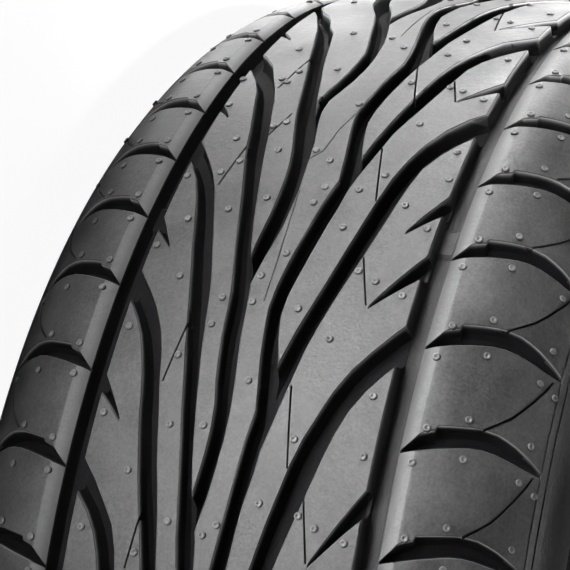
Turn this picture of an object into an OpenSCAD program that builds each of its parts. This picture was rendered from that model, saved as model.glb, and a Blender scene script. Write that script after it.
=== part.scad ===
// Car tyre, 245/40 R18 class, with a directional V tread.
// It lies on one sidewall: the wheel axis is Z and the origin is at the middle of the tyre.
// The casing is one revolved section, and the tread grooves are cut into it.

/* [Size] */
// Overall diameter over the tread
overall_d = 653; // [640:1:670]
// Width over both sidewalls
section_w = 248; // [242:1:256]
// Diameter of the bead seats, where the rim fits
bead_d = 461.2; // [458:0.2:464]
// Width between the outer faces of the beads
bead_w = 216; // [208:1:222]
// Length of the cylindrical part of each bead seat
bead_seat_l = 12; // [10:0.5:14]
// Thickness of the sidewall at its widest place
sidewall_t = 8; // [7:0.5:10]
// Thickness of the crown from the tread face to the inner liner
crown_t = 17; // [15:0.5:20]

/* [Tread profile] */
// Width of the tread between its outer edges
tread_w = 228; // [222:1:232]
// Radius of the crown across the tread
crown_r = 800; // [600:10:1200]
// Radius of the rounded shoulder
shoulder_r = 54; // [50:1:62]
// Width of the rounded shoulder, from its start to the tread edge
shoulder_w = 40; // [36:0.5:42]

/* [Grooves] */
// Distance of each circumferential groove from the middle plane
ring_z = 64.4; // [63:0.2:66]
// Width of the circumferential grooves
ring_w = 9.4; // [8:0.2:11]
// Depth of the circumferential grooves
ring_depth = 8.4; // [8:0.1:9]
// Depth of all the cross grooves
cross_depth = 7.6; // [6.5:0.1:7.8]
// Width of the chamfer along each shoulder block
chamfer_w = 5.6; // [4:0.2:7]
// Depth of that chamfer at the groove
chamfer_drop = 1.5; // [1:0.1:2]
// Height of the wear bars on the floor of the circumferential grooves
bar_h = 1.6; // [1:0.1:2]

/* [Pattern] */
// Number of equal mould sectors round the tyre
sectors = 5; // [5:1:5]
// Angle that turns the whole pattern about the axis
pattern_turn = 36.9; // [0:0.1:72]
// Least width of the cross grooves in the shoulders
slot_w = 6.2; // [5:0.1:7]
// Width of the long grooves where they leave the mouth
long_w = 7.2; // [6.5:0.1:8]
// Width of the long grooves along the middle
tail_w = 6.2; // [5.5:0.1:7]

/* [Hidden] */
$fn = 180;
outer_r = overall_d / 2;
bead_r = bead_d / 2;
half_w = section_w / 2;
tread_z = tread_w / 2;
shoulder_z = tread_z - shoulder_w;
bead_z = bead_w / 2;
sector_a = 360 / sectors;
// The cutters start this far under the tread's highest place and end a little above it
cut_depth = 45;
cut_over = 5;

// Drop of an arc of radius rad at the distance x from its top
function arc_drop(x, rad) = rad - sqrt(rad * rad - x * x);
function tread_drop(z) = arc_drop(z, crown_r) + arc_drop(max(0, z - shoulder_z), shoulder_r);
function tread_r(z) = outer_r - tread_drop(z);
// Floor of the cross grooves: level across the crown, running out at the edge
floor_end = tread_z + 6;
function run_out(z) = pow(max(0, z - shoulder_z) / (floor_end - shoulder_z), 2);
function cross_floor(z) = tread_r(z) - cross_depth * (1 - run_out(z));
function reversed(v) = [for (i = [len(v) - 1:-1:0]) v[i]];
function mirrored(v) = [for (p = reversed(v)) [p[0], -p[1]]];

// Radius on the flank, which runs from the bead seat (share 0) to the tread edge (share 1)
edge_r = tread_r(tread_z);
function flank_r(share) = bead_r + share * (edge_r - bead_r);

// Half of the outer skin, from the middle plane to the bead toe, as [radius, z]
widest_r = flank_r(0.685);
upper_turn = 2 * atan2(half_w - tread_z, edge_r - widest_r);
upper_arc = (edge_r - widest_r) / sin(upper_turn);
shoulder_span = asin(shoulder_w / shoulder_r);
crown_line = concat(
    [for (z = [0, shoulder_z / 2, shoulder_z]) [tread_r(z), z]],
    [for (t = [0.25:0.25:1]) let (z = shoulder_z + shoulder_r * sin(t * shoulder_span)) [tread_r(z), z]]
);
sidewall_line = [
    for (t = [0.7, 0.4, 0])
        [widest_r + upper_arc * sin(t * upper_turn), half_w - upper_arc * (1 - cos(t * upper_turn))]
];
lower_line = [
    [flank_r(0.514), half_w - 1.2],
    [flank_r(0.343), half_w - 4.4],
    [flank_r(0.3), half_w - 3.8],
    [flank_r(0.229), half_w - 5.4],
    [flank_r(0.2), bead_z + 3.5],
    [flank_r(0.114), bead_z],
    [flank_r(0.037), bead_z - 0.8],
    [bead_r, bead_z - 4],
    [bead_r, bead_z - 4 - bead_seat_l],
    [flank_r(0.02), bead_z - 7 - bead_seat_l],
];
// Half of the inner liner, from the bead toe to the middle plane
liner_line = [
    [flank_r(0.114), bead_z - 5 - bead_seat_l],
    [flank_r(0.286), bead_z - 12],
    [flank_r(0.371), half_w - 13 - 0.4 * sidewall_t],
    [flank_r(0.571), half_w - sidewall_t - 1],
    [flank_r(0.742), half_w - sidewall_t],
    [flank_r(0.913), half_w - sidewall_t - 5],
    [outer_r - crown_t - 12, tread_z - 9],
    [outer_r - crown_t - 5, tread_z - 24],
    [outer_r - crown_t - 2, 58],
    [outer_r - crown_t, 22],
];

module casing() {
    half = concat(crown_line, sidewall_line, lower_line, liner_line);
    rotate_extrude() polygon(concat(half, mirrored([for (p = half) if (p[1] > 0) p])));
}

// Circumferential groove with sloped walls, a rounded floor and the shoulder chamfer
ring_floor_r = tread_r(ring_z) - ring_depth;
draft = 1.1;
fillet = 1.7;
module ring_groove(side) {
    inner = ring_z - ring_w / 2;
    outer = ring_z + ring_w / 2;
    top = outer_r + 1;
    line = [
        [top, inner - 0.6],
        [tread_r(inner), inner],
        [ring_floor_r + fillet, inner + draft],
        [ring_floor_r, inner + draft + fillet],
        [ring_floor_r, outer - draft - fillet],
        [ring_floor_r + fillet, outer - draft],
        [tread_r(outer) - chamfer_drop, outer],
        [tread_r(outer + chamfer_w), outer + chamfer_w],
        [top, outer + chamfer_w + 0.4],
    ];
    rotate_extrude() polygon([for (p = line) [p[0], side * p[1]]]);
}

// Wear bars: short low blocks left standing on the floor of a circumferential groove
bar_at = 24.6;
bar_l = 10;
bar_root = 3;
module wear_bars(side) {
    for (k = [0:sectors - 1])
        rotate([0, 0, pattern_turn + k * sector_a + bar_at])
            translate([ring_floor_r - bar_root, -bar_l / 2, side * ring_z - ring_w])
                cube([bar_root + bar_h, bar_l, 2 * ring_w]);
}

// A straight prism that points outwards at the angle mid; outline holds [z, angle] pairs
module radial_cut(side, mid, outline) {
    rotate([0, 0, mid])
        rotate([90, 0, 90])
            translate([0, 0, outer_r - cut_depth])
                linear_extrude(cut_depth + cut_over)
                    polygon([for (p = outline) [outer_r * sin(p[1] - mid), side * p[0]]]);
}

// Shoulder slot: it leaves the groove narrow, steps wider and arches to the tread edge
slot_w_drawn = 6.2;
slot_upper = [[67, -0.2], [80.5, -1.8], [81.2, -2.15], [98, -2.7], [109, -2.2], [122, 0.2]];
slot_lower = [[67, 0.1], [90, -1.15], [108, -1.15], [122, 0.6]];
module shoulder_slot(side, at) {
    grow = (slot_w - slot_w_drawn) / outer_r * 90 / PI;
    outline = concat(
        [for (p = slot_upper) [p[0], at + p[1] - grow]],
        reversed([for (p = slot_lower) [p[0], at + p[1] + grow]])
    );
    radial_cut(side, at, outline);
}

// Long groove, first part: from its wide mouth down to where it nears the middle
long_w_drawn = 7.2;
long_lead = [[66, -1.7], [56.5, 0], [45, 3.4], [31.6, 10.2], [17.9, 20.5]];
long_trail = [[66, 0.7], [57.6, 2.4], [45.7, 6.8], [35.2, 13.6], [25.1, 20.5]];
long_span = long_lead[len(long_lead) - 1][1];
module long_groove(side, at) {
    grow = long_w - long_w_drawn;
    outline = concat(
        [for (p = long_lead) [p[0], at + p[1]]],
        reversed([for (p = long_trail) [p[0] + grow, at + p[1]]])
    );
    radial_cut(side, at + long_span / 2, outline);
}

// Long groove, second part: it bends along the middle and turns out into the next one
tail_near = 1.6;
module groove_tail(side, at, bend, end) {
    start = at + long_span - 0.3;
    near = tail_near;
    far = long_lead[len(long_lead) - 1][0] + 0.3;
    lead = concat(
        [for (t = [0, 0.33, 0.67, 1]) [near + (far - near) * pow(1 - t, 1.6), start + t * (bend - start)]],
        [[near + 0.45 * (end - bend), end]]
    );
    widths = [long_w, (long_w + tail_w) / 2, tail_w, tail_w, tail_w - 1];
    trail = [for (i = [0:len(lead) - 1]) [lead[i][0] + widths[i], lead[i][1]]];
    radial_cut(side, (start + end) / 2, concat(lead, reversed(trail)));
}

// Notch: a pointed cut from the circumferential groove into the middle band
module notch(side, mouth, width, tip_z, tip) {
    middle = (ring_z + tip_z) / 2;
    outline = [
        [ring_z + 1, mouth - 0.6],
        [middle, mouth + 0.38 * (tip - mouth)],
        [tip_z, tip],
        [middle, mouth + 0.38 * (tip - mouth) + 0.65 * width],
        [ring_z + 1, mouth + width - 0.5],
    ];
    radial_cut(side, tip, outline);
}

// One mould sector: angles of every cut, with their steps varied as on a quiet tread
right_slots = [-7.2, 0, 6.65, 13.15, 19.8, 26.9, 34.2, 41.9, 49.5, 57.3];
left_slots = [-5.5, 1, 7.25, 13.25, 19.2, 25.2, 31.5, 38.6, 45.8, 53, 59.9];
// Long grooves as [mouth, bend, end]
right_longs = [[-20.1, 13.3, 19.1], [-1.6, 32.4, 37.5], [11.8, 53.2, 58], [32.6, 63.8, 73.5]];
left_longs = [[-7.5, 22.5, 29.5], [5.1, 42, 48], [18.1, 52.9, 58.7], [31.4, 61.8, 67.2], [46.1, 78.5, 84]];
// Notches as [mouth, width, z of the tip, tip]
right_notches = [
    [-6.8, 1.9, 38.7, -2.3], [7.3, 1.6, 43.9, 10.8], [21, 2.1, 47, 25.3],
    [26.5, 2.3, 41.8, 31.8], [44, 2.3, 41.3, 50.5]
];
left_notches = [
    [-1, 1.2, 52.4, 1.7], [11.4, 1.4, 53.5, 14.3], [24.4, 1.9, 50.9, 28.1],
    [38.2, 1.9, 47.8, 42.2], [54, 1.9, 48, 58.2]
];

module half_pattern(side, slots, longs, notches) {
    for (at = slots) shoulder_slot(side, at);
    for (g = longs) {
        long_groove(side, g[0]);
        groove_tail(side, g[0], g[1], g[2]);
    }
    for (n = notches) notch(side, n[0], n[1], n[2], n[3]);
}

module cross_cuts() {
    for (k = [0:sectors - 1])
        rotate([0, 0, pattern_turn + k * sector_a]) {
            half_pattern(1, right_slots, right_longs, right_notches);
            half_pattern(-1, left_slots, left_longs, left_notches);
        }
}

// Band of the tread that the cross cuts may reach, down to their common floor
module cross_band() {
    band_z = floor_end - 1;
    floor_line = [
        for (z = [0, shoulder_z - 32, shoulder_z, shoulder_z + 20, band_z]) [cross_floor(z), z]
    ];
    half = concat(floor_line, [[outer_r + 2 * cut_over, band_z]]);
    rotate_extrude() polygon(concat(half, mirrored([for (p = half) if (p[1] > 0) p])));
}

module tyre() {
    color([0.09, 0.09, 0.095])
        difference() {
            casing();
            intersection() {
                cross_cuts();
                cross_band();
            }
            for (side = [-1, 1])
                difference() {
                    ring_groove(side);
                    wear_bars(side);
                }
        }
}

tyre();
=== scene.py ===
import math
import bmesh
import bpy
from mathutils import Matrix, Vector


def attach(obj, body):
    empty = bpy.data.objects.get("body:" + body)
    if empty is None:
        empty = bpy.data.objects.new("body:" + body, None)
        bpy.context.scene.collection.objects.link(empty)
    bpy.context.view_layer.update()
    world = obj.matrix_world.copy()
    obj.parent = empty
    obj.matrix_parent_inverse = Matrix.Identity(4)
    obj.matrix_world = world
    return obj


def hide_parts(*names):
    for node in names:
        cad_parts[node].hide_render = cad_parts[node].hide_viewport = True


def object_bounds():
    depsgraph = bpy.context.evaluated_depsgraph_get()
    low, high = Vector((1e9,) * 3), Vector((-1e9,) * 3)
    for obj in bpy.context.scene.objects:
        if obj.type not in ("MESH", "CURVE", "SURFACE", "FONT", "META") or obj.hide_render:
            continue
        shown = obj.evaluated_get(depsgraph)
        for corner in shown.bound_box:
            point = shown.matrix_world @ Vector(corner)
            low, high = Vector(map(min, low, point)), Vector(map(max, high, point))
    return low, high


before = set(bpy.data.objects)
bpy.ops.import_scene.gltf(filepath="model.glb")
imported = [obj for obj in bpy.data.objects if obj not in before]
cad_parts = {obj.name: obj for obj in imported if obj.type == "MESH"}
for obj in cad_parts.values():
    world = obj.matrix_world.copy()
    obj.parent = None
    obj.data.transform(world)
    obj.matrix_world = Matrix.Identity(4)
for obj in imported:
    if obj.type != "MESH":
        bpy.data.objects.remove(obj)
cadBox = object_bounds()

scene = bpy.context.scene
print("frame loaded")

# camera: the tyre lies on its side and the photo is turned a quarter, so the view's up is along +X
photoView = {
    "place": (0.0, 1.085115, 0.341862),
    "looksAlong": (0.144887, -0.909287, -0.390133),
    "up": (0.977719, 0.192102, -0.084629),
    "lens": 137.13,
    "sensor": 36,
    "nearest": 0.01,
}


def aimCamera(s):
    data = bpy.data.cameras.new("photoCamera")
    data.lens = s["lens"]
    data.sensor_width = s["sensor"]
    data.clip_start = s["nearest"]
    camera = bpy.data.objects.new("photoCamera", data)
    scene.collection.objects.link(camera)
    back = -Vector(s["looksAlong"]).normalized()
    right = Vector(s["up"]).cross(back).normalized()
    up = back.cross(right)
    turn = Matrix((right, up, back)).transposed()
    camera.matrix_world = Matrix.Translation(s["place"]) @ turn.to_4x4()
    scene.camera = camera


aimCamera(photoView)

# outer skin of the tyre, in metres: crown arc, shoulder arc, then the upper sidewall to the widest place
skinShape = {
    "outerRadius": 0.3265,
    "crownArc": 0.8,
    "shoulderStart": 0.074,
    "shoulderArc": 0.054,
    "treadEdge": 0.114,
    "halfWidth": 0.124,
    "widestRadius": 0.27855,
    "sidewallSteps": 25,
    "easeFrom": 80,  # the first millimetre of the tread where the corner to the sidewall is eased
    "easeTimes": 6,
}


def skinRadius(z):
    s = skinShape
    beyond = min(max(0, z - s["shoulderStart"]), s["shoulderArc"])
    crown = s["crownArc"] - math.sqrt(s["crownArc"] ** 2 - z * z)
    shoulder = s["shoulderArc"] - math.sqrt(s["shoulderArc"] ** 2 - beyond ** 2)
    return s["outerRadius"] - crown - shoulder


def skinSamples():
    s = skinShape
    line = [Vector((skinRadius(k / 1000), k / 1000)) for k in range(round(s["treadEdge"] * 1000) + 1)]
    rise = line[-1].x - s["widestRadius"]
    step = s["halfWidth"] - s["treadEdge"]
    arc = (rise ** 2 + step ** 2) / (2 * step)
    turn = math.asin(rise / arc)
    for k in reversed(range(s["sidewallSteps"])):
        a = turn * k / s["sidewallSteps"]
        line.append(Vector((s["widestRadius"] + arc * math.sin(a), s["halfWidth"] - arc * (1 - math.cos(a)))))
    first = s["easeFrom"]
    for _ in range(s["easeTimes"]):
        eased = [(a + 2 * b + c) / 4 for a, b, c in zip(line[first - 1:], line[first:], line[first + 1:])]
        line[first:-1] = eased
    lengths = [0]
    for a, b in zip(line, line[1:]):
        lengths.append(lengths[-1] + (b - a).length)
    return line, lengths


skinLine, skinLengths = skinSamples()


def lengthAt(z):  # distance along the skin, from the middle of the tread to the height z
    for k in range(len(skinLine) - 1):
        if skinLine[k + 1].y >= z:
            t = (z - skinLine[k].y) / (skinLine[k + 1].y - skinLine[k].y)
            return skinLengths[k] + t * (skinLengths[k + 1] - skinLengths[k])
    return skinLengths[-1]


def onSkin(length):  # point on the skin and its outward normal, both as (radius, z)
    k = 0
    while k < len(skinLine) - 2 and skinLengths[k + 1] < length:
        k += 1
    t = (length - skinLengths[k]) / (skinLengths[k + 1] - skinLengths[k])

    def normalAt(n):
        a, b = skinLine[max(n - 1, 0)], skinLine[min(n + 1, len(skinLine) - 1)]
        return Vector((1, 0)) if n == 0 else Vector((b.y - a.y, a.x - b.x)).normalized()
    return skinLine[k].lerp(skinLine[k + 1], t), normalAt(k).lerp(normalAt(k + 1), t).normalized()


# the tread repeats in five equal mould sectors; it is cut flat and then wrapped round the tyre
mouldSector = {
    "count": 5,
    "firstAngle": 36.906,  # where the first sector starts, in degrees
    "stepAngle": 6.8246,  # one block step of the pattern, in degrees
    "columns": 72,
    "rows": 66,
    "edge": 0.1206,  # height where the cut sheet ends and the plain sidewall begins
    "depth": 0.0076,
    "ringDepth": 0.0084,
    "lip": 0.00045,
    "above": 0.0012,  # how far a cutting bar stands out of the sheet
    "backing": 0.014,
    "shallow": 0.0024,  # cuts deeper than this get a shaded copy of the rubber, which reflects less: painted shade
    "touching": 1e-6,  # this and the next three are tolerances
    "lipReach": 1e-5,
    "weld": 2e-5,
    "rimReach": 1e-4,
}
sectorAngle = math.radians(360 / mouldSector["count"])
sheetLength = sectorAngle * skinShape["outerRadius"]


def flat(z, step):  # z in millimetres, step along the tread in block steps
    length = math.copysign(lengthAt(abs(z) / 1000), z)
    return Vector((math.radians(step * mouldSector["stepAngle"]) * skinShape["outerRadius"], length, 0))


def wrap(p):  # from the flat sheet to its place on the tyre
    point, normal = onSkin(abs(p.y))
    point = point + normal * p.z
    angle = p.x / skinShape["outerRadius"] + math.radians(mouldSector["firstAngle"])
    return Vector((point.x * math.cos(angle), point.x * math.sin(angle), math.copysign(point.y, p.y)))


def evenly(points, count):  # the same line with count points at equal distances
    lengths = [0]
    for a, b in zip(points, points[1:]):
        lengths.append(lengths[-1] + (b - a).length)
    out, k = [], 0
    for n in range(count):
        d = lengths[-1] * n / (count - 1)
        while k < len(points) - 2 and lengths[k + 1] < d:
            k += 1
        out.append(points[k].lerp(points[k + 1], (d - lengths[k]) / (lengths[k + 1] - lengths[k])))
    return out


# section of the long grooves, slots and notches; shares are of the width, so that narrow ends are shallow too
grooveShape = {
    "depthShare": 1.6,
    "leastDepth": 0.0006,
    "wallShare": 0.14,
    "widestWall": 0.0009,
    "filletShare": 0.24,
    "largestFillet": 0.0018,
    "sections": 26,
}


def grooveSection(left, right, depth):  # lip, sloped wall and rounded floor on both sides
    s = grooveShape
    lip, above = mouldSector["lip"], mouldSector["above"]
    width = (right - left).length
    side = (right - left) / width
    depth = min(depth, s["depthShare"] * width + s["leastDepth"])
    wall = min(s["widestWall"], width * s["wallShare"])
    fillet = min(s["largestFillet"], width * s["filletShare"], depth / 2)
    half = [(-lip - above, above), (0, -lip), (wall, fillet - depth), (wall + fillet, -depth)]
    leftHalf = [left + side * a + Vector((0, 0, h)) for a, h in half]
    return leftHalf + [right - side * a + Vector((0, 0, h)) for a, h in reversed(half)]


def sipeSection(left, right, depth):
    up, down = Vector((0, 0, mouldSector["above"])), Vector((0, 0, -depth))
    return [left + up, left + down, right + down, right + up]


def sweep(bm, sections):  # draws a closed bar through the sections, by extruding its end face
    verts = [bm.verts.new(p) for p in sections[0]]
    face = bm.faces.new(verts)
    for k, section in enumerate(sections[1:]):
        grown = bmesh.ops.extrude_face_region(bm, geom=[face])["geom"]
        if k:
            bmesh.ops.delete(bm, geom=[face], context="FACES_ONLY")
        fresh = [g for g in grown if isinstance(g, bmesh.types.BMVert)]
        verts = [min(fresh, key=lambda v: (v.co - old.co).length_squared) for old in verts]
        for v, p in zip(verts, section):
            v.co = p
        face = next(g for g in grown if isinstance(g, bmesh.types.BMFace))


# long grooves, traced along both edges: (millimetres from the middle, block step)
leftLongs = {
    "first": (
        [(-64, -1.3), (-58, -1.15), (-54, -.88), (-48.5, -.7), (-43.5, -.45), (-39.5, -.15), (-35.5, 0),
         (-31, .4), (-26.5, .9), (-22, 1.3), (-18, 1.7), (-14.5, 2.0), (-11, 2.25), (-8, 2.5), (-6, 3),
         (-5, 3.3), (-5.5, 3.8), (-8, 4.15), (-10, 4.45), (-10.5, 4.75)],
        [(-64, -1.08), (-58, -.9), (-54, -.7), (-50, -.45), (-45, -.15), (-42, .1), (-37.5, .5),
         (-33.5, .9), (-30, 1.2), (-26.5, 1.6), (-22.5, 2.05), (-18.5, 2.4), (-14.5, 2.75), (-12.5, 3.2),
         (-12.5, 3.6), (-14, 4.15), (-14.5, 4.5)]),
    "second": (
        [(-64, .55), (-58, .68), (-55, .78), (-50, .95), (-46.5, 1.15), (-43.5, 1.35), (-38.5, 1.6),
         (-35, 1.95), (-31, 2.3), (-28, 2.65), (-24, 3.1), (-20.5, 3.5), (-16.5, 3.95), (-14, 4.15),
         (-10, 4.5), (-8.5, 4.75), (-7, 5.15), (-4.5, 5.55), (-3.2, 5.85), (-2.5, 6.1), (-2.8, 6.4),
         (-4.5, 6.9), (-6.5, 7.15), (-7.5, 7.4)],
        [(-64, .9), (-57, 1.12), (-52.5, 1.3), (-48.5, 1.5), (-44, 1.9), (-40, 2.25), (-36.5, 2.65),
         (-33, 2.95), (-29, 3.3), (-25, 3.7), (-21, 4.15), (-17, 4.55), (-15.5, 4.85), (-14.5, 5.15),
         (-12, 5.6), (-9, 5.95), (-8.5, 6.25), (-9, 6.5), (-10.5, 6.9), (-11.5, 7.2)]),
    "third": (
        [(-64, 2.36), (-57, 2.6), (-52, 2.8), (-47, 3), (-43, 3.2), (-40.5, 3.4), (-37, 3.65),
         (-33.5, 3.95), (-30, 4.25), (-27, 4.5), (-25, 4.75), (-23, 5.1), (-21, 5.4), (-18.5, 5.75),
         (-15.5, 6.2), (-13, 6.55), (-10.5, 6.85), (-6.5, 7.15), (-5.3, 7.35), (-3.5, 7.75), (-3, 8),
         (-4.5, 8.35), (-7, 8.7), (-8, 8.95)],
        [(-64, 2.7), (-57, 2.93), (-53.5, 3.08), (-50.5, 3.25), (-47, 3.5), (-43.5, 3.8), (-40.5, 4.1),
         (-37.5, 4.35), (-34.5, 4.65), (-31.5, 4.95), (-29.5, 5.2), (-26.5, 5.5), (-24, 5.8),
         (-21.5, 6.1), (-19, 6.4), (-16.5, 6.75), (-14.5, 7.05), (-12.5, 7.4), (-10, 7.7), (-9, 8),
         (-11, 8.5), (-12, 8.8)]),
    "fourth": (
        [(-64, 4.28), (-57, 4.5), (-52, 4.67), (-47, 4.85), (-43, 5.05), (-40, 5.2), (-38, 5.4),
         (-35, 5.75), (-32.5, 6), (-30, 6.3), (-27.5, 6.6), (-25, 6.85), (-22.5, 7.15), (-20.5, 7.5),
         (-17.5, 7.9), (-14, 8.2), (-11, 8.5), (-6.5, 8.8), (-5, 9.05), (-6, 9.4), (-9, 9.7),
         (-12, 10.05), (-13, 10.25)],
        [(-64, 4.62), (-59.5, 4.78), (-55, 4.95), (-51, 5.1), (-48, 5.3), (-44.5, 5.55), (-42, 5.8),
         (-39.5, 6.15), (-37, 6.4), (-34, 6.75), (-31, 7.05), (-28.5, 7.3), (-26, 7.6), (-22.5, 8),
         (-19, 8.45), (-15.5, 8.75), (-12.5, 9.05), (-12.5, 9.4), (-15, 9.85), (-16.5, 10.1)]),
    "fifth": (
        [(-64, 6.42), (-59, 6.6), (-54, 6.75), (-50, 6.9), (-46, 7.05), (-42, 7.2), (-39, 7.4),
         (-36.5, 7.7), (-34.5, 8.2), (-33, 8.7), (-29.5, 9.1), (-25.5, 9.35), (-21, 9.6), (-16.6, 9.95),
         (-12.4, 10.3), (-7.1, 10.8), (-5.6, 11.15), (-5, 11.5), (-8, 11.95), (-11.5, 12.2),
         (-13.3, 12.34)],
        [(-64, 6.76), (-58.5, 6.97), (-54, 7.1), (-50, 7.25), (-46.5, 7.45), (-43.5, 7.75), (-41.5, 8.2),
         (-39.5, 8.75), (-36, 9.2), (-31.5, 9.5), (-25.2, 9.85), (-20.3, 10.25), (-14.4, 10.8),
         (-10.9, 11.15), (-11, 11.55), (-13.5, 11.95), (-16.5, 12.2), (-17.2, 12.32)]),
    "joining": (  # the end of the fifth, beside the next sector's first
        [(-12.2, 12.2), (-12.6, 12.5), (-9.9, 12.85), (-6.8, 13.3)],
        [(-16.9, 12.2), (-14.8, 12.5), (-12.6, 12.85), (-12.2, 13.3)]),
}
rightLongs = {
    "first": (
        [(60, -3.05), (55, -2.9), (50, -2.77), (45, -2.6), (40, -2.45), (36, -2.25), (33, -2.05),
         (30, -1.85), (27, -1.6), (24.5, -1.4), (22, -1), (20, -.6), (18, -.2), (15.5, .15), (11.5, .55),
         (8.7, .95), (6.5, 1.3), (5, 1.6), (3.3, 1.9), (3.5, 2.05), (6, 2.4), (8.5, 2.75), (9.5, 2.95),
         (11, 3.2)],
        [(60, -2.6), (55.5, -2.48), (50, -2.33), (46, -2.2), (42, -2.05), (39, -1.9), (36, -1.75),
         (34, -1.6), (32, -1.2), (30, -1), (28, -.6), (25, -.2), (21, .25), (19, .6), (16, .95),
         (13, 1.4), (11, 1.7), (9.8, 2), (10, 2.15), (12.5, 2.45), (14.5, 2.65), (16, 2.75), (15.5, 3)]),
    "second": (
        [(60, -.3), (55, -.19), (50, -.05), (45, .03), (40, .25), (36, .45), (33, .65), (30, .85),
         (28, 1.05), (26, 1.3), (24, 1.55), (22, 1.8), (20, 2.05), (18, 2.3), (16, 2.5), (15.5, 2.7),
         (11, 2.95), (8, 3.3), (6, 3.7), (3.5, 4.1), (1.5, 4.5), (1, 4.8), (2, 5), (4, 5.4), (6.5, 5.7),
         (7.5, 5.95), (9, 6.1)],
        [(60, .12), (55.5, .22), (50, .37), (46, .5), (42, .65), (39, .8), (37, .95), (36, 1.1),
         (34, 1.3), (32, 1.5), (30, 1.7), (25.5, 2.05), (23, 2.25), (21.5, 2.45), (18, 2.85), (15.5, 3.1),
         (14.5, 3.4), (12.5, 3.7), (10.5, 4.05), (8.5, 4.35), (6.2, 4.75), (7.5, 5), (9.5, 5.2),
         (11.5, 5.38), (13, 5.8)]),
    "third": (
        [(60, 1.68), (56, 1.77), (52, 1.85), (48, 1.97), (44, 2.12), (40, 2.3), (37, 2.48), (34, 2.7),
         (31.5, 2.95), (30, 3.15), (28.5, 3.4), (27, 3.6), (25, 3.9), (23, 4.15), (21, 4.4), (19, 4.6),
         (17, 4.8), (15.5, 4.95), (13.5, 5.15), (12, 5.35), (8.5, 5.75), (6.5, 6.15), (5.5, 6.6),
         (4.5, 7), (3, 7.4), (1.5, 7.8), (2.5, 8.1), (5, 8.4), (7.5, 8.75), (8.5, 8.95)],
        [(60, 2.08), (56.5, 2.18), (53, 2.28), (49, 2.42), (45.5, 2.55), (42.5, 2.7), (40.5, 2.85),
         (39, 3.05), (37.5, 3.25), (36, 3.5), (34, 3.75), (32, 4), (30, 4.2), (28, 4.4), (25.5, 4.65),
         (21.5, 5.05), (20, 5.25), (18.5, 5.5), (16.5, 5.8), (14.5, 6.1), (12.5, 6.35), (12, 6.6),
         (10, 6.95), (9, 7.4), (7.5, 7.75), (8, 7.95), (10.5, 8.3), (12.5, 8.5), (13, 8.8)]),
    "fourth": (
        [(60, 4.7), (56, 4.8), (53, 4.92), (49, 5.05), (45, 5.2), (41, 5.35), (37.5, 5.52), (34.5, 5.7),
         (32, 5.9), (29, 6.1), (27, 6.3), (25.5, 6.45), (24.5, 6.6), (22.5, 6.85), (20.5, 7.1),
         (18.5, 7.4), (16, 7.75), (13.5, 8.1), (11, 8.5), (7, 8.9), (2.5, 9.2), (-.7, 9.5), (0, 9.85),
         (3, 10.3), (5, 10.55), (8, 10.95), (9.2, 11.2), (9.6, 11.4)],
        [(60, 5.15), (58, 5.22), (55, 5.3), (51, 5.45), (47, 5.6), (44, 5.75), (41, 5.95), (39, 6.15),
         (36.5, 6.4), (34.5, 6.65), (32, 6.9), (29, 7.2), (27, 7.4), (23.5, 7.8), (19.5, 8.3),
         (15.5, 8.75), (11.5, 9.05), (8, 9.35), (6, 9.9), (8.5, 10.25), (11.5, 10.55), (14.5, 10.75),
         (17, 11), (16.5, 11.4)]),
}


tracing = {"shift": 1.1, "stretch": 1.03}  # from the traced millimetres to heights on the tyre


def heights(points):
    return [(tracing["stretch"] * (a + tracing["shift"]), step) for a, step in points]


def traced(points):
    return [flat(z, step) for z, step in heights(points)]


def longGroove(bm, lead, trail):
    count = grooveShape["sections"]
    pairs = zip(evenly(traced(lead), count), evenly(traced(trail), count))
    sweep(bm, [grooveSection(a, b, mouldSector["depth"]) for a, b in pairs])


# shoulder slots: (height, upper edge, lower edge, depth), the edges in block steps from the slot's own step
shoulderSlot = {
    "right": [-1.05, 0, .974, 1.926, 2.902, 3.936, 5.009, 6.135, 7.251, 8.39],
    "left": [-.8, .15, 1.063, 1.943, 2.816, 3.697, 4.617, 5.65, 6.716, 7.77, 8.78],
    "shape": [
        (65.8, -.02, .02, 7.4), (68.6, -.04, 0, 7.4), (70.1, -.08, -.015, 7.4), (72.2, -.14, -.03, 7.4),
        (74.3, -.2, -.045, 7.4), (76.3, -.24, -.06, 7.4), (80.4, -.28, -.088, 7.4), (81.0, -.33, -.093, 7.4),
        (85.6, -.354, -.124, 7.3), (89.7, -.374, -.152, 7.2), (93.8, -.394, -.18, 7), (98, -.404, -.194, 6.6),
        (102.1, -.4, -.19, 6), (105.2, -.374, -.175, 5.3), (108.3, -.34, -.16, 4.5), (111.3, -.29, -.14, 3.5),
        (114.4, -.23, -.125, 2.4), (117.2, -.16, -.11, 1.2)],
    "sipe": [
        (96.9, -.4), (101, -.5), (104.1, -.58), (107, -.7), (109.8, -.85), (112.4, -1.01), (114.8, -1.2)],
    "leftWidth": 0.85,  # shares of the width above
    "rightWidth": 0.8,
    "rightGrowth": 0.2,  # the slots on the right are wider from one step to the next
    "growsFrom": 1,
    "growsOver": 4,
}


def slotCut(bm, side, at, widen):
    sections = []
    for z, upper, lower, depth in shoulderSlot["shape"]:
        upper = lower + (upper - lower) * widen
        sections.append(grooveSection(flat(side * z, at + upper), flat(side * z, at + lower), depth / 1000))
    sweep(bm, sections)


# width and depth of the thin cuts
thinCuts = {
    "middle": (0.0008, 0.0042),
    "shoulder": (0.0011, 0.0022),
    "hairline": (0.0005, 0.0005),
    "spacing": 0.005,
}


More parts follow.
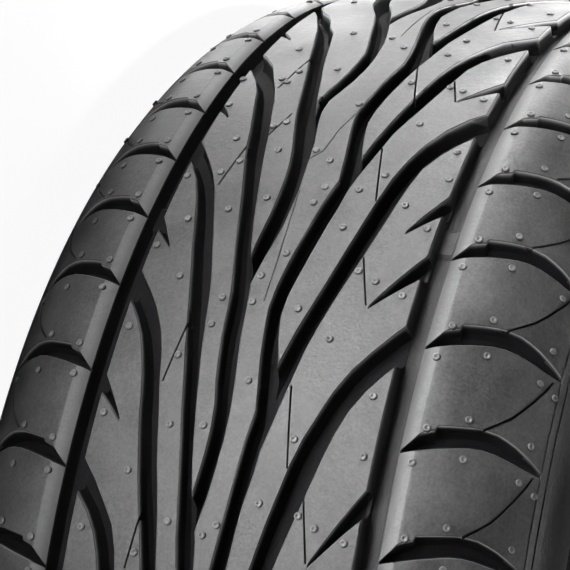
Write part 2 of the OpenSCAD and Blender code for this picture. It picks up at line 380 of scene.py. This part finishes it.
def thinCut(bm, points, kind):  # a sipe along (z, step) points
    width, depth = thinCuts[kind]
    line = [flat(z, step) for z, step in points]
    line = evenly(line, max(3, int((line[-1] - line[0]).length / thinCuts["spacing"])))
    sections = []
    for k, p in enumerate(line):
        way = (line[min(k + 1, len(line) - 1)] - line[max(k - 1, 0)]).normalized()
        side = Vector((-way.y, way.x, 0)) * width / 2
        sections.append(sipeSection(p + side, p - side, depth))
    sweep(bm, sections)


# notches from the circumferential grooves into the middle band: mouth, mouth and tip, as traced
notches = [
    ((60, -1.06), (60, -.74), (36.5, -.33)), ((60, 1), (60, 1.24), (41.5, 1.58)),
    ((60, 3), (60, 3.34), (44.5, 3.7)), ((60, 3.82), (60, 4.16), (39.5, 4.66)),
    ((60, 6.42), (60, 6.76), (39, 7.4)),
    ((-64.5, -.18), (-64.5, .02), (-52, .25)), ((-64.5, 1.66), (-64.5, 1.88), (-53, 2.1)),
    ((-64, 3.5), (-64, 3.78), (-50.5, 4.12)), ((-64, 5.5), (-64, 5.78), (-47.5, 6.18)),
    ((-64, 7.95), (-64, 8.2), (-48.5, 8.55)),
]
notchShape = {
    "stations": (0, 0.2, 0.4, 0.6, 0.8, 0.97),
    "bendAt": 0.42,
    "bend": -0.0018,
    "taper": 0.8,
    "narrowest": 0.0005,
    "depth": 0.0066,
}


def notchCut(bm, upper, lower, tip):
    s = notchShape
    a, b, c = traced([upper, lower, tip])
    mouth = 0.5 * (a + b)
    bend = mouth + s["bendAt"] * (c - mouth) + Vector((s["bend"], 0, 0))
    sections = []
    for t in s["stations"]:
        width = 0.5 * (b - a) * (1 - t) ** s["taper"]
        middle = mouth.lerp(bend, t).lerp(bend.lerp(c, t), t)
        width.x = max(width.x, s["narrowest"])
        sections.append(grooveSection(middle - width, middle + width, s["depth"]))
    sweep(bm, sections)


# sipes of the middle band, as traced: start, end
sipes = [
    ((-34, .77), (-39, 1.5)), ((-25, 2), (-30, 2.4)), ((-37, 2.6), (-41, 3.22)), ((-30.5, 5), (-34, 5.7)),
    ((-30, 7.1), (-32.5, 7.65)), ((30.5, -1.1), (36, -.3)), ((36, 1.15), (41.5, 1.58)),
    ((21.5, 2.5), (28.5, 3.3)), ((32, 4.05), (39, 4.62)), ((19, 5.6), (25, 6.45)), ((33.5, 6.7), (39, 7.35)),
    ((16, .85), (24, 1.6)),
]


# hairlines that the seams of the mould leave on the lands, as traced
hairlines = [
    [(-4.5, 3.25), (-3, 3.75), (-2, 4.2), (-1.8, 4.7)],
    [(3, 1.95), (-.5, 2.25), (-2, 2.6), (-6.5, 2.75)],
    [(-2, -1), (-2, .1)],
]

ringMarks = [-0.5 + 0.15 * k for k in range(78)]  # block steps where the ring grooves have a section

# section of the ring grooves in millimetres, and the wear bar that crosses their floor
ringProfile = {
    "inner": 59.7,
    "innerWall": [(.8, 2), (1.5, .6), (2.8, 0)],  # (inwards from the edge, above the floor)
    "outer": 68.7,
    "outerWall": [(3.4, 0), (1.8, .6), (1, 2.2)],
    "drop": 1.9,  # the chamfer's lower edge
    "chamfer": 74.7,
    "overhang": (1.4, 3, 1.2),  # the bar stands out of the sheet: at the inner edge, the outer edge, and up
    "barFrom": 3.46,
    "barTo": 3.76,
    "barRamp": 0.05,
    "barHeight": 1.6,
    # share of the painted groove shade that the upper ring groove gets
    "ringShadeShare": 0.19,
    "chamferShine": 0.76,
}


def ringGroove(bm, side):
    s = ringProfile
    inner, outer, chamfer, ramp = s["inner"], s["outer"], s["chamfer"], s["barRamp"]
    innerOverhang, outerOverhang, above = s["overhang"]
    sections = []
    for step in sorted(ringMarks + [s["barFrom"] - ramp, s["barFrom"], s["barTo"], s["barTo"] + ramp]):
        onBar = s["barFrom"] <= step <= s["barTo"]
        deep = mouldSector["ringDepth"] * 1000 - (s["barHeight"] if onBar else 0)
        line = [(inner - innerOverhang, above), (inner, -1000 * mouldSector["lip"])]
        line += [(inner + a, h - deep) for a, h in s["innerWall"]]
        line += [(outer - a, h - deep) for a, h in s["outerWall"]]
        line += [(outer, -s["drop"]), (chamfer, 0), (chamfer + outerOverhang, above)]
        sections.append([flat(side * z, step) + Vector((0, 0, h / 1000)) for z, h in line])
    sweep(bm, sections)


def ringLine(bm, z, width, depth):  # a fine moulding line round the shoulder
    sections = []
    for step in ringMarks:
        sections.append(sipeSection(flat(z - width / 2, step), flat(z + width / 2, step), depth))
    sweep(bm, sections)


# fine moulding lines round the edge of the tread
edgeLines = {"heights": (116.9, 119), "width": 0.5, "depth": 0.0006}


def newObject(bm, name):
    mesh = bpy.data.meshes.new(name)
    bm.to_mesh(mesh)
    bm.free()
    piece = bpy.data.objects.new(name, mesh)
    scene.collection.objects.link(piece)
    return piece


def cutGroup(draw, repeat):  # all the bars of one group, also where they reach in from the next sectors
    bm = bmesh.new()
    draw(bm)
    whole = bm.verts[:] + bm.edges[:] + bm.faces[:]
    for shift in (-sheetLength, sheetLength) if repeat else ():
        copy = bmesh.ops.duplicate(bm, geom=whole)["geom"]
        moved = [g for g in copy if isinstance(g, bmesh.types.BMVert)]
        bmesh.ops.translate(bm, vec=(shift, 0, 0), verts=moved)
    bmesh.ops.recalc_face_normals(bm, faces=bm.faces[:])
    return newObject(bm, "cutter")


def carve(sheet, draw, repeat=True):
    cutter = cutGroup(draw, repeat)
    cut = sheet.modifiers.new("cut", "BOOLEAN")
    cut.operation = "DIFFERENCE"
    cut.solver = "MANIFOLD"
    cut.object = cutter
    graph = bpy.context.evaluated_depsgraph_get()
    carved = bpy.data.meshes.new_from_object(sheet.evaluated_get(graph))
    carved.materials.clear()
    sheet.modifiers.clear()
    sheet.data = carved
    bpy.data.objects.remove(cutter)


def treadSheet():
    s = mouldSector
    half = lengthAt(s["edge"])
    bm = bmesh.new()
    bmesh.ops.create_grid(bm, x_segments=s["columns"], y_segments=s["rows"], size=1)
    bmesh.ops.scale(bm, vec=(sheetLength / 2, half, 1), verts=bm.verts[:])
    bmesh.ops.translate(bm, vec=(sheetLength / 2, 0, 0), verts=bm.verts[:])
    grown = bmesh.ops.extrude_face_region(bm, geom=bm.faces[:])["geom"]
    under = [g for g in grown if isinstance(g, bmesh.types.BMVert)]
    bmesh.ops.translate(bm, vec=(0, 0, -s["backing"]), verts=under)
    bmesh.ops.recalc_face_normals(bm, faces=bm.faces[:])
    return newObject(bm, "tread")


def drawLongs(which, turn, turns):  # grooves that meet are cut in different turns
    def draw(bm):
        for n, (lead, trail) in enumerate(which.values()):
            if n % turns == turn:
                longGroove(bm, lead, trail)
    return draw


def drawSlots(bm):
    s = shoulderSlot
    for at in s["right"]:
        grown = min(max((at - s["growsFrom"]) / s["growsOver"], 0), 1)
        slotCut(bm, 1, at, s["rightWidth"] + s["rightGrowth"] * grown)
    for at in s["left"]:
        slotCut(bm, -1, at, s["leftWidth"])


def drawThin(bm):
    for line in sipes:
        thinCut(bm, heights(line), "middle")
    for line in hairlines:
        thinCut(bm, heights(line), "hairline")
    for side, steps in ((1, shoulderSlot["right"]), (-1, shoulderSlot["left"])):
        for at in steps:
            thinCut(bm, [(side * z, at + d) for z, d in shoulderSlot["sipe"]], "shoulder")


def drawNotches(bm):
    for upper, lower, tip in notches:
        notchCut(bm, upper, lower, tip)


def drawRings(bm):
    for side in (-1, 1):
        ringGroove(bm, side)
        for z in edgeLines["heights"]:
            ringLine(bm, side * z, edgeLines["width"], edgeLines["depth"])


def carveTread():
    sheet = treadSheet()
    for which, turns in ((leftLongs, 3), (rightLongs, 2)):
        for turn in range(turns):
            carve(sheet, drawLongs(which, turn, turns))
    carve(sheet, drawNotches)
    carve(sheet, drawSlots)
    carve(sheet, drawThin)
    carve(sheet, drawRings, repeat=False)
    print("tread cut,", len(sheet.data.polygons), "faces a sector")
    return sheet


def repeatSectors(bm):
    whole = bm.verts[:] + bm.edges[:] + bm.faces[:]
    others = mouldSector["count"] - 1
    bmesh.ops.spin(bm, geom=whole, axis=(0, 0, 1), cent=(0, 0, 0), angle=sectorAngle * others, steps=others,
                   use_duplicate=True)


def wrapTread(sheet):
    s = mouldSector
    bm = bmesh.new()
    bm.from_mesh(sheet.data)
    half = lengthAt(s["edge"])
    near, lipReach = s["touching"], s["lipReach"]
    ends = (  # the sheet's four ends and its back
        lambda v: v.co.x < near,
        lambda v: v.co.x > sheetLength - near,
        lambda v: v.co.z < near - s["backing"],
        lambda v: v.co.y > half - near,
        lambda v: v.co.y < near - half,
    )
    hidden = [f for f in bm.faces if any(all(test(v) for v in f.verts) for test in ends)]
    bmesh.ops.delete(bm, geom=hidden, context="FACES")
    ringFrom, ringTo, chamferTo = [lengthAt(ringProfile[end] / 1000) for end in ("inner", "outer", "chamfer")]
    # depth below the land, which carries the painted shade of the cuts
    grooveShadeDepth = bm.verts.layers.float.new("grooveShadeDepth")
    edgeHighlight = bm.verts.layers.float.new("edgeHighlight")
    for f in bm.faces:
        wide = ringFrom < f.calc_center_median().y < ringTo
        # faces deep in the cuts take the shaded copy of the rubber, as painted shade
        f.material_index = int(min(v.co.z for v in f.verts) < -s["shallow"] and not wide)
    for v in bm.verts:
        wide = ringFrom < v.co.y < ringTo  # painted shade, weaker in the upper ring groove than in the narrow cuts, as its wide floor gets more light
        v[grooveShadeDepth] = max(0, -v.co.z) * (ringProfile["ringShadeShare"] if wide else 1)
        # painted highlight along the lips of the lands, and a fainter one on the chamfers beside the ring
        # grooves
        v[edgeHighlight] = abs(v.co.z + s["lip"]) < lipReach
        beside = ringTo - lipReach < abs(v.co.y) < chamferTo + lipReach
        if beside and v.co.z > -ringProfile["drop"] / 1000 - lipReach:
            v[edgeHighlight] = ringProfile["chamferShine"]
        v.co = wrap(v.co)
    repeatSectors(bm)
    bmesh.ops.remove_doubles(bm, verts=bm.verts[:], dist=s["weld"])
    inside = s["edge"] - s["rimReach"]
    cracks = [e for e in bm.edges if e.is_boundary and min(abs(v.co.z) for v in e.verts) < inside]
    bmesh.ops.holes_fill(bm, edges=cracks, sides=3)  # slivers where a groove crosses into the next sector
    bmesh.ops.triangle_fill(bm, edges=[e for e in cracks if e.is_boundary])
    bmesh.ops.recalc_face_normals(bm, faces=bm.faces[:])
    bm.to_mesh(sheet.data)
    rimEdges = sum(e.is_boundary for e in bm.edges)
    print("tread wrapped,", len(bm.faces), "faces,", rimEdges, "edges on the rims")
    bm.free()


def shadeByAngle(piece, degrees):
    piece.data.polygons.foreach_set("use_smooth", [True] * len(piece.data.polygons))
    piece.data.set_sharp_from_angle(angle=math.radians(degrees))


# sidewalls, beads and liner: one section, spun
sidewall = {
    "outer": [(0.272, 0.1238), (0.266, 0.1229), (0.2600, 0.1212), (0.2555, 0.1198), (0.2540, 0.1204),
              (0.2515, 0.1204), (0.2485, 0.1190), (0.2468, 0.1168), (0.2452, 0.1130), (0.2425, 0.1095),
              (0.2386, 0.1079), (0.2350, 0.1078), (0.2326, 0.1070), (0.2311, 0.1055), (0.2306, 0.1035),
              (0.2306, 0.0922), (0.2311, 0.0900), (0.2328, 0.0885), (0.2360, 0.0876)],
    "inner": [(0.2420, 0.0890), (0.2490, 0.0945), (0.2560, 0.1035), (0.2630, 0.1100), (0.2705, 0.1142),
              (0.2785, 0.1160), (0.2870, 0.1150), (0.2945, 0.1110), (0.2995, 0.1040), (0.3030, 0.0940),
              (0.3052, 0.0820), (0.3068, 0.0680), (0.3080, 0.0500), (0.3088, 0.0300), (0.3092, 0.0150),
              (0.3094, 0)],
    "steps": 360,
    "leadSteps": 9,  # points from the edge of the tread to the widest place
    "weld": 1e-6,
}


def spinSidewalls():
    half = lengthAt(mouldSector["edge"])
    total = skinLengths[-1]
    outer = []
    for k in range(sidewall["leadSteps"]):
        p, _ = onSkin(half + (total - half) * k / sidewall["leadSteps"])
        outer.append((p.x, p.y))
    points = outer + sidewall["outer"] + sidewall["inner"]
    points += [(r, -z) for r, z in reversed(points[:-1])]
    bm = bmesh.new()
    turn = math.radians(mouldSector["firstAngle"])
    verts = [bm.verts.new((r * math.cos(turn), r * math.sin(turn), z)) for r, z in points]
    edges = [bm.edges.new(pair) for pair in zip(verts, verts[1:])]
    bmesh.ops.spin(bm, geom=verts + edges, axis=(0, 0, 1), cent=(0, 0, 0), angle=math.tau,
                   steps=sidewall["steps"], use_merge=True)
    bmesh.ops.remove_doubles(bm, verts=bm.verts[:], dist=sidewall["weld"])
    bmesh.ops.recalc_face_normals(bm, faces=bm.faces[:])
    top = max(bm.faces, key=lambda f: f.calc_center_median().z)
    if top.normal.z < 0:  # the section is open at the tread, so its faces may all look inwards
        bmesh.ops.reverse_faces(bm, faces=bm.faces[:])
    return newObject(bm, "sidewalls")


# vent nubs: what is left of the mould's vent holes, as (height from the middle, block step)
ventNubs = {
    "radius": 0.00155,
    "height": 0.00095,
    "sides": 9,
    "footRadius": 1.1,  # shares of the radius and the height, down to "insets"
    "conePart": 1.2,
    "insets": [(0.25, 0.4), (0.2, 0), (0.16, -0.4)],  # (inwards, up): a rounded edge, a rim and a dip
    "reach": 0.002,  # a nub is looked for from here down
    "deepest": 0.0003,  # and stands on the land, not over a cut deeper than this
    "middle": [
        (-43.5, .55), (-25, .05), (-5, .17), (-18, 1.05), (-34.5, 1.13), (-40, 1.3), (-36.5, 1.37),
        (-58.5, 1.3), (-56.5, 1.85), (-25, 2.17), (-30, 2.25), (-43.5, 2.48), (-22, 2.65), (-5.5, 2.62),
        (-36.5, 2.85), (-42.5, 3.03), (-57, 3.1), (-17, 3.38), (-31.5, 3.57), (-47.5, 3.73), (-56.5, 4.1),
        (-6.5, 4.4), (-41, 4.48), (-19.5, 4.7), (-6.5, 4.72), (-20.5, 5.02), (-55.5, 5.12), (-30.5, 5.4),
        (1.5, 5.6), (-55.5, 6.1), (-26, 6.15), (-12, 6.12), (-39, 6.67), (-18, 7.13), (-3, 7.22), (2, 7.1),
        (-54, 7.3), (-29.5, 7.48), (51, -1.2), (31.5, -.75), (39, -.65), (50.5, -.5), (13, -.37), (28.5, .12),
        (4, .43), (52, .53), (25.5, .55), (18.5, 1.27), (21.5, 1.4), (36, 1.3), (42, 1.35), (52.5, 1.48),
        (2, 1.77), (32, 2.05), (52.5, 2.45), (54, 2.88), (2.5, 2.77), (28, 2.92), (5.5, 3.17), (20, 3.17),
        (3.5, 3.4), (41, 3.32), (53, 3.6), (19.5, 3.7), (.5, 4.1), (32, 4.23), (40, 4.33), (52, 4.46),
        (13, 4.75), (29, 5.05), (51.5, 5.6), (25.3, 6.15), (53, 6.23), (17, 6.83), (33, 6.9), (40, 7),
        (52, 7.1), (45, 7.9), (51, 8.3), (33, 8.1), (22, 8.6), (1, 8.3), (36, 8.9), (-2, 8.9), (-18, 8.75),
        (-46, 8.3), (-36, 8.2), (-28, 8.6), (-54, 8.6), (-47, 9.1), (14, 9.15)],
    "rightBlock": [
        (74.6, .08), (92.3, -.05), (110.8, .02), (77.4, -.29), (91.3, -.46), (112.2, -.4), (116, .1)],
    "leftBlock": [(75.1, .05), (94.7, 0), (76.6, -.3), (93.6, -.43), (110.5, .03)],
}


def addNubs(sheet):
    s = ventNubs
    spots = heights(s["middle"])
    spots += [(z, at + d) for at in shoulderSlot["right"][1:] for z, d in s["rightBlock"]]
    spots += [(-z, at + d) for at in shoulderSlot["left"][1:] for z, d in s["leftBlock"]]
    bm = bmesh.new()
    bmesh.ops.create_cone(bm, cap_ends=True, segments=s["sides"], radius1=s["radius"] * s["footRadius"],
                          radius2=s["radius"], depth=s["height"] * s["conePart"])
    lid = max(bm.faces, key=lambda f: f.calc_center_median().z)
    for inwards, up in s["insets"]:
        bmesh.ops.inset_region(bm, faces=[lid], thickness=s["radius"] * inwards, depth=s["height"] * up)
    foot = min(bm.faces, key=lambda f: f.calc_center_median().z)
    bmesh.ops.delete(bm, geom=[foot], context="FACES_ONLY")
    for f in bm.faces:
        f.material_index = int(f.normal.z < 0.5)  # the tip gets lighter rubber, partly for its cut rubber and partly as a painted highlight; the side gets dark rubber as painted shade
    pattern = bm.verts[:] + bm.edges[:] + bm.faces[:]
    kept = 0
    for z, step in spots:
        at = flat(z, step)
        at.x %= sheetLength
        hit, place, _, _ = sheet.ray_cast(at + Vector((0, 0, s["reach"])), Vector((0, 0, -1)))
        if not hit or place.z < -s["deepest"]:
            print("nub over a groove:", round(z, 1), step)
            continue
        copy = bmesh.ops.duplicate(bm, geom=pattern)["geom"]
        for v in [g for g in copy if isinstance(g, bmesh.types.BMVert)]:
            v.co = wrap(at + v.co)
        kept += 1
    bmesh.ops.delete(bm, geom=[g for g in pattern if isinstance(g, bmesh.types.BMVert)], context="VERTS")
    repeatSectors(bm)
    print(kept, "nubs a sector")
    return newObject(bm, "ventNubs")


sheet = carveTread()
nubs = addNubs(sheet)
wrapTread(sheet)
sidewalls = spinSidewalls()
for piece, sharpFrom in ((sheet, 32), (nubs, 60), (sidewalls, 50)):
    shadeByAngle(piece, sharpFrom)


# materials
class Wire:  # wraps one socket, so that shader maths reads as an expression
    def __init__(self, tree, socket=None):
        self.tree, self.socket = tree, socket

    def node(self, kind, settings, sockets, output=0):
        made = self.tree.nodes.new(kind)
        for name, value in settings.items():
            if name == "stops":
                for k, (at, shade) in enumerate(value):
                    stop = made.color_ramp.elements[k] if k < 2 else made.color_ramp.elements.new(at)
                    stop.position, stop.color = at, (shade, shade, shade, 1)
            else:
                setattr(made, name, value)
        for name, value in sockets.items():
            if isinstance(value, Wire):
                self.tree.links.new(value.socket, made.inputs[name])
            else:
                made.inputs[name].default_value = value
        return Wire(self.tree, made.outputs[output])

    def maths(self, operation, first, second):
        return self.node("ShaderNodeMath", {"operation": operation}, {0: first, 1: second})

    def __add__(self, other):
        return self.maths("ADD", self, other)

    def __radd__(self, other):
        return self.maths("ADD", other, self)

    def __sub__(self, other):
        return self.maths("SUBTRACT", self, other)

    def __mul__(self, other):
        return self.maths("MULTIPLY", self, other)

    def __rmul__(self, other):
        return self.maths("MULTIPLY", other, self)

    def __pow__(self, other):
        return self.maths("POWER", self, other)


rubberToneAndPaintedLight = {
    # painted shade: the deep cuts are darkened towards this colour
    "groove": (0.011, 0.011, 0.012, 1),
    # painted highlight on the lips and the ring chamfers
    "edge": (0.4, 0.4, 0.401, 1),
    "edgeHighlightSharpness": 7.0,
    "grooveShadeFrom": 0.0004,
    "grooveShadeTo": 0.0018,
    "dark": (0.02, 0.02, 0.021, 1),
    "pale": (0.1, 0.1, 0.101, 1),
    "roughness": 0.45,
    "roughnessSpread": 0.26,
    "grooveRoughness": 0.2,
    "specular": 0.5,
    "smearScale": 34,
    "smearStops": [(0.38, 0), (0.66, 1)],
    "grainScale": 850,
    "pebbleScale": 850 / 3,
    "grainDepth": 0.0002,
    "paleness": {"smear": 0.4, "grain": 0.9, "pebble": 0.4, "less": 0.3},
    "unevenness": {"smear": 0.6, "grain": 0.4, "less": 0.5},
    "relief": {"grain": 0.6, "pebble": 0.8},
}


def rubber(name, s):
    material = bpy.data.materials.new(name)
    material.use_nodes = True
    tree = material.node_tree
    shader = tree.nodes["Principled BSDF"]
    start = Wire(tree)
    where = start.node("ShaderNodeTexCoord", {}, {}, "Object")

    def noise(scale, detail):
        return start.node("ShaderNodeTexNoise", {}, {"Vector": where, "Scale": scale, "Detail": detail})

    def mix(factor, first, second):  # two colours
        return start.node("ShaderNodeMix", {"data_type": "RGBA"}, {"Factor": factor, 6: first, 7: second}, 2)

    smear, grain, pebble = noise(s["smearScale"], 4), noise(s["grainScale"], 2), noise(s["pebbleScale"], 3)
    blotch = start.node("ShaderNodeValToRGB", {"stops": s["smearStops"]}, {"Fac": smear})
    part = s["paleness"]
    paleness = blotch * part["smear"] + grain * part["grain"] + pebble * part["pebble"] - part["less"]
    colour = mix(paleness, s["dark"], s["pale"])
    # painted shade in the cuts, growing with their depth; the same mask also raises the roughness
    depth = start.node("ShaderNodeAttribute", {"attribute_name": "grooveShadeDepth"}, {}, "Fac")
    grooveShadeMask = start.node("ShaderNodeMapRange", {"interpolation_type": "SMOOTHSTEP"},
                          {0: depth, 1: s["grooveShadeFrom"], 2: s["grooveShadeTo"], 3: 0.0, 4: 1.0})
    colour = mix(grooveShadeMask, colour, s["groove"])
    # painted highlight along the lips and chamfers
    edge = start.node("ShaderNodeAttribute", {"attribute_name": "edgeHighlight"}, {}, "Fac")
    colour = mix(edge ** s["edgeHighlightSharpness"], colour, s["edge"])
    part, spread = s["unevenness"], s["roughnessSpread"]
    rough = s["roughness"] + spread * (blotch * part["smear"] + grain * part["grain"]) - spread * part["less"]
    rough = rough + s["grooveRoughness"] * grooveShadeMask
    height = grain * s["relief"]["grain"] + pebble * s["relief"]["pebble"]
    bump = start.node("ShaderNodeBump", {}, {"Height": height, "Distance": s["grainDepth"], "Strength": 1})
    shader.inputs["Specular IOR Level"].default_value = s["specular"]
    tree.links.new(colour.socket, shader.inputs["Base Color"])
    tree.links.new(rough.socket, shader.inputs["Roughness"])
    tree.links.new(bump.socket, shader.inputs["Normal"])
    return material


grooveShadeTones = dict(rubberToneAndPaintedLight, specular=0.05)  # a shaded copy of the rubber that reflects less, so the narrow cuts stay black under the bright floor: painted shade
# nub tips: lighter rubber, partly real and partly a painted highlight; nub sides: dark rubber as painted
# shade round each nub
tipPaleAndLit = dict(rubberToneAndPaintedLight, dark=(0.1, 0.1, 0.101, 1), pale=(0.22, 0.22, 0.221, 1), roughness=0.38)
nubSideShadeTones = dict(rubberToneAndPaintedLight, dark=(0.012, 0.012, 0.012, 1), pale=(0.02, 0.02, 0.02, 1), roughness=0.6)

treadMaterials = rubber("treadRubber", rubberToneAndPaintedLight), rubber("grooveShadeRubber", grooveShadeTones)
nubMaterials = rubber("nubTipPaleAndLit", tipPaleAndLit), rubber("nubSideShade", nubSideShadeTones)
for piece, materials in ((sheet, treadMaterials), (sidewalls, treadMaterials[:1]), (nubs, nubMaterials)):
    for material in materials:
        piece.data.materials.append(material)
    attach(piece, "root")
    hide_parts("tyre")
print("materials set")


# floor, backdrop and lamps
studio = {
    "floorColour": (0.86, 0.86, 0.86, 1),
    "floorRoughness": 0.9,
    "floorWhiteness": 0.94,  # as the camera sees it
    "floorSize": 6,
    "world": 0.06,
    "lampHeight": 1.2,
    "beam": 25,  # degrees, so that each lamp lights the floor beside the tyre and not the tread
    "lamps": [  # name, place over the floor, size, power
        ("poolAhead", (0.4, 0.85), (0.8, 0.6), 24),
        ("poolBehind", (1.3, 0.1), (0.9, 1.6), 92),
        ("poolLeft", (-0.75, 0.7), (0.7, 0.6), 20),
        ("poolFar", (-0.7, -0.8), (0.7, 0.6), 20),
        ("poolRight", (0.4, -1.0), (0.7, 0.6), 20),
        ("poolHorizon", (0.42, 0.11), (0.1, 0.18), 2.0),
        ("poolTop", (0, 0), (0.5, 0.5), 0.4),
    ],
}


def makeFloor(s):
    bm = bmesh.new()
    bmesh.ops.create_grid(bm, x_segments=1, y_segments=1, size=s["floorSize"])
    bmesh.ops.translate(bm, vec=(0, 0, cadBox[0][2]), verts=bm.verts[:])
    floor = newObject(bm, "floor")
    material = bpy.data.materials.new("floorWhite")
    material.use_nodes = True
    tree = material.node_tree
    shader = tree.nodes["Principled BSDF"]
    shader.inputs["Base Color"].default_value = s["floorColour"]
    shader.inputs["Roughness"].default_value = s["floorRoughness"]
    start = Wire(tree)
    seen = start.node("ShaderNodeLightPath", {}, {}, "Is Camera Ray")
    white = start.node("ShaderNodeEmission", {}, {"Strength": 1.0}, "Emission")
    mixed = start.node("ShaderNodeMixShader", {},
                       {0: seen * s["floorWhiteness"], 1: Wire(tree, shader.outputs[0]), 2: white}, 0)
    tree.links.new(mixed.socket, tree.nodes["Material Output"].inputs["Surface"])
    floor.data.materials.append(material)


def addLamp(s, name, place, size, power):  # a soft lamp straight over the floor
    data = bpy.data.lights.new(name, "AREA")
    data.shape = "RECTANGLE"
    data.size, data.size_y = size
    data.energy = power
    data.spread = math.radians(s["beam"])
    lamp = bpy.data.objects.new(name, data)
    lamp.location = (*place, s["lampHeight"])
    scene.collection.objects.link(lamp)


def makeWorld(s):  # white to the camera, dim to the tyre
    world = bpy.data.worlds.new("studio")
    world.use_nodes = True
    background = world.node_tree.nodes["Background"]
    background.inputs["Color"].default_value = (1, 1, 1, 1)
    seen = Wire(world.node_tree).node("ShaderNodeLightPath", {}, {}, "Is Camera Ray")
    level = s["world"] + seen * (1 - s["world"])
    world.node_tree.links.new(level.socket, background.inputs["Strength"])
    scene.world = world


makeFloor(studio)
for lampSettings in studio["lamps"]:
    addLamp(studio, *lampSettings)
makeWorld(studio)
scene.view_settings.view_transform = "Standard"
print("studio lit")
